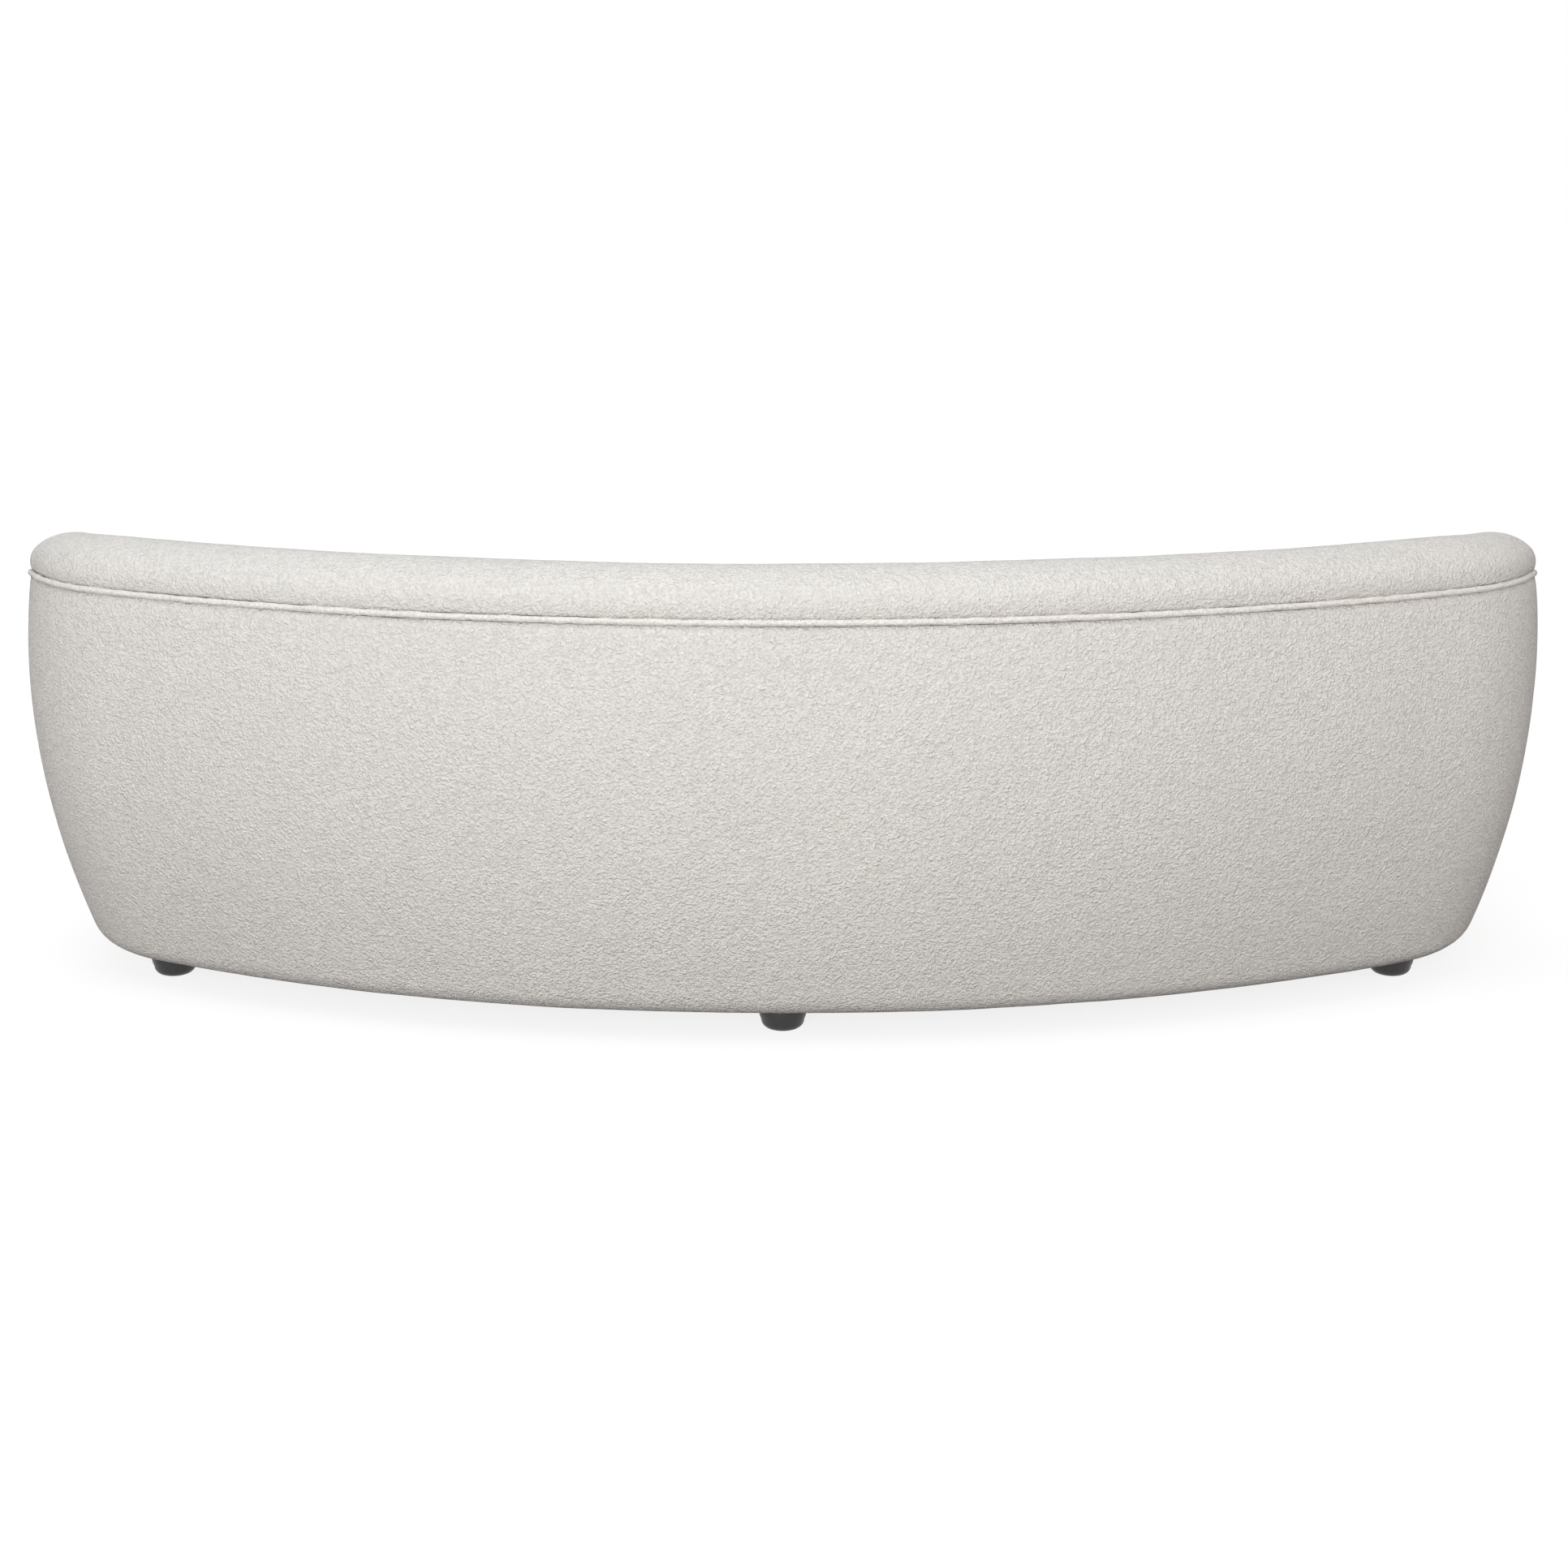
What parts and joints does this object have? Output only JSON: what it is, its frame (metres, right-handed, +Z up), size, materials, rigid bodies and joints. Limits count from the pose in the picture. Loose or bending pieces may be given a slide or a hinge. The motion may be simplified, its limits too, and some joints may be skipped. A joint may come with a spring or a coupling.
{
  "type": "curved sofa",
  "caption": "Curved sofa in looped off-white fabric with a wrap-around padded back that slopes into low arms, a crescent seat cushion and short black feet.",
  "frame": {"origin": "centre of the bounding box's bottom face, on the floor under the feet", "axes": "+X runs along the sofa's length to the sitter's left when seated, the hollow front that the sitter faces is towards -Y, the rounded outer back is towards +Y, +Z is up"},
  "size_m": [2.4, 1.0667, 0.7056],
  "materials": {
    "boucle": "looped off-white boucle",
    "cushion_boucle": "looped off-white boucle",
    "welt_boucle": "self-covered welt cord",
    "foam": "cut foam",
    "deck_cloth": "woven platform cloth",
    "dust_cloth": "thin black non-woven cloth",
    "webbing": "elastic webbing",
    "black_wood": "black stained, satin",
    "zinc_steel": "zinc plated",
    "plywood": "birch plywood"
  },
  "bodies": {
    "frame": {"arm_foam_left": "foam", "arm_foam_right": "foam", "arm_post_left": "plywood", "arm_post_right": "plywood", "back_foam": "foam", "base_panel": "plywood", "deck_cover": "deck_cloth", "deck_pad": "foam", "dust_cover": "dust_cloth", "foot_bolts": "zinc_steel", "foot_nuts": "zinc_steel", "front_apron": "plywood", "front_cover": "boucle", "front_feet": "black_wood", "front_foam": "foam", "inner_lining": "plywood", "inside_cover": "boucle", "outer_cover": "boucle", "outer_lining": "plywood", "rear_feet": "black_wood", "rib_1": "plywood", "rib_10": "plywood", "rib_11": "plywood", "rib_2": "plywood", "rib_3": "plywood", "rib_4": "plywood", "rib_5": "plywood", "rib_6": "plywood", "rib_7": "plywood", "rib_8": "plywood", "rib_9": "plywood", "seat_joist_1": "plywood", "seat_joist_2": "plywood", "seat_joist_3": "plywood", "seat_joist_4": "plywood", "seat_joist_5": "plywood", "seat_joist_6": "plywood", "seat_ring": "plywood", "strap_1": "webbing", "strap_2": "webbing", "strap_3": "webbing", "strap_4": "webbing", "strap_5": "webbing", "strap_6": "webbing", "strap_7": "webbing", "strap_8": "webbing", "strap_9": "webbing", "top_rail": "plywood", "welt_cord": "welt_boucle"},
    "seat_cushion": {"seat_cushion": "cushion_boucle", "cushion_welt_low": "welt_boucle", "cushion_welt_high": "welt_boucle"}
  },
  "joints": [
    {"name": "seat_cushion_lift", "type": "slide", "parent": "frame", "child": "seat_cushion", "axis": [0, 0, 1], "range_m": [0, 0.45]}
  ]
}
